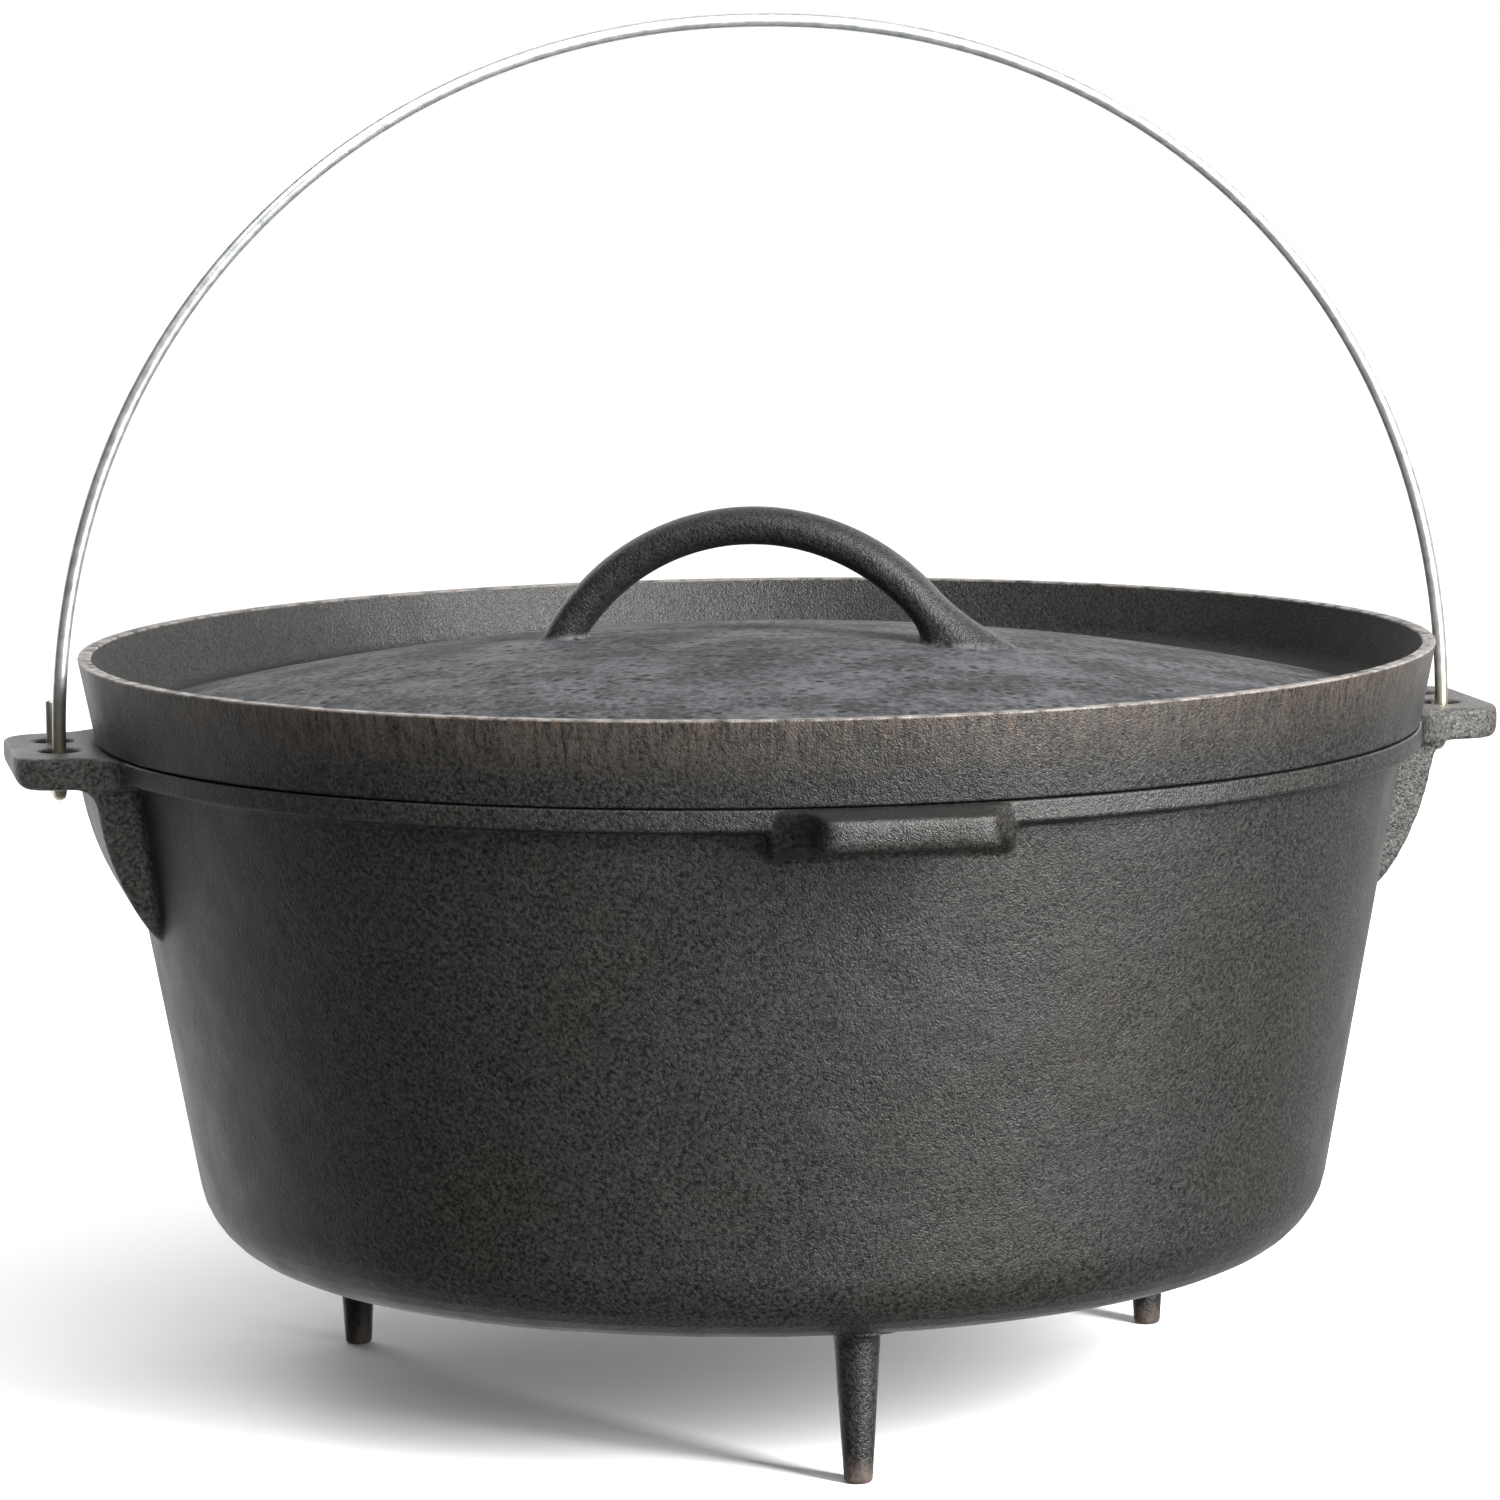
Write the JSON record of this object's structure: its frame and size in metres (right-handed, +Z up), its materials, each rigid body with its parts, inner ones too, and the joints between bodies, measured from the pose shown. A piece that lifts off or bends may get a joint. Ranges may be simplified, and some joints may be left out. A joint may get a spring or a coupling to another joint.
{
  "type": "cast iron dutch oven",
  "caption": "Round camp dutch oven in cast iron: deep pot on legs with ears and a lifting tab, flanged lid with arched handle, wire bail.",
  "frame": {"origin": "on the pot's axis, at the ground under its legs", "axes": "+Z up along the pot's axis; +X through the two ears, along the bail's hinge line; -Y towards the lifting tab"},
  "size_m": [0.3686, 0.3475, 0.3383],
  "materials": {
    "pot_iron": "seasoned sand-cast iron, fine grain, satin",
    "lid_iron": "seasoned sand-cast iron, ground rim, satin",
    "bail_wire": "galvanised drawn wire, semi-bright"
  },
  "bodies": {
    "pot_body": {"pot": "pot_iron"},
    "lid_body": {"lid": "lid_iron"},
    "bail_body": {"bail": "bail_wire"}
  },
  "joints": [
    {"name": "bail_swing", "type": "hinge", "parent": "pot_body", "child": "bail_body", "pos_m": [0, 0, 0.1611], "axis": [1, 0, 0], "range_deg": [-15, 15]},
    {"name": "lid_off", "type": "slide", "parent": "pot_body", "child": "lid_body", "axis": [0, 0.766, 0.6428], "range_m": [0, 0.4]}
  ]
}
